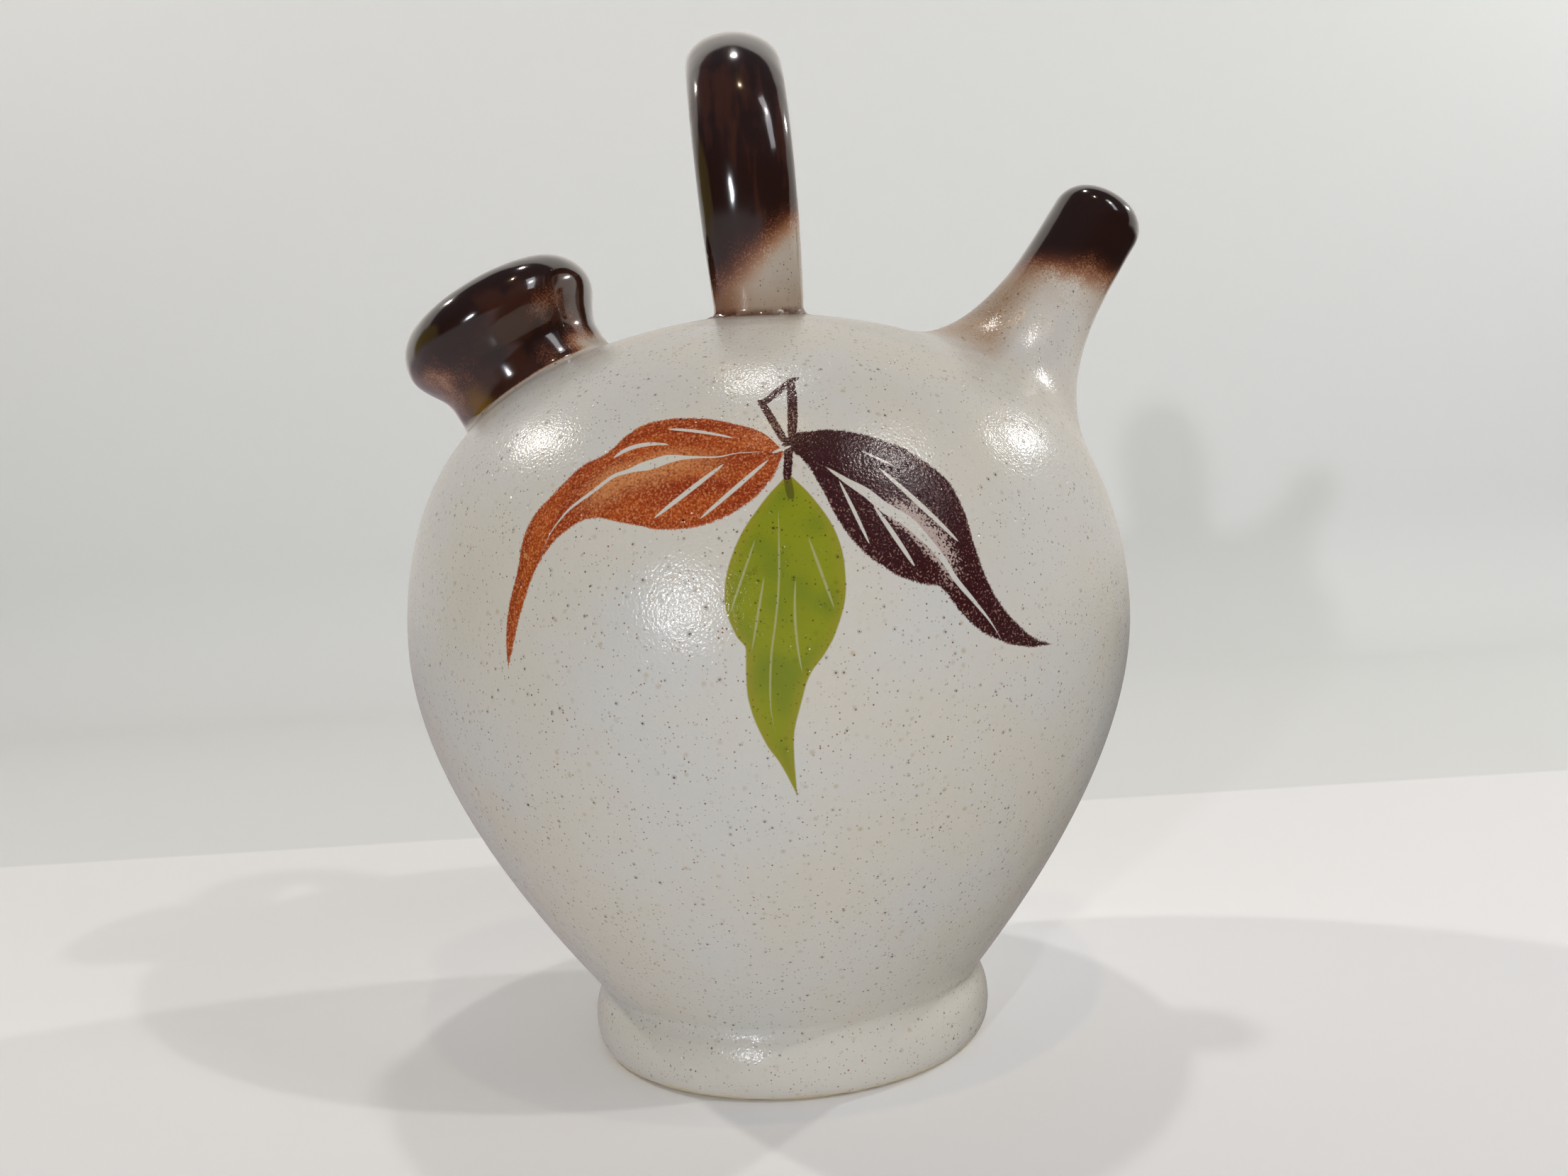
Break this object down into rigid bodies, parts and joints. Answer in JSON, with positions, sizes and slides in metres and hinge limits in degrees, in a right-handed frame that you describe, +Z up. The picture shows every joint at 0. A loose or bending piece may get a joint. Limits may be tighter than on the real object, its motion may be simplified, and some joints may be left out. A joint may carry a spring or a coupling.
{
  "type": "stoneware water jug",
  "caption": "Round-bellied hollow stoneware water jug with a lipped filling mouth, a slender drinking spout, a strap handle arched over the top and painted leaves.",
  "frame": {"origin": "centre of the foot's flat underside, on the body's turning axis", "axes": "+Z up along the turning axis; the drinking spout leans to +X and the filling mouth to -X; the handle's arch lies in the YZ plane; the painted leaves face -Y"},
  "size_m": [0.19, 0.18, 0.2524],
  "materials": {
    "glazed_stoneware": "pale warm grey satin glaze with fine brown specks; glossy dark brown glaze on the mouth, the handle and the spout's tip, fading into the pale glaze; painted three-leaf sprig on the front"
  },
  "bodies": {
    "root": {"jug": "glazed_stoneware"}
  },
  "joints": []
}
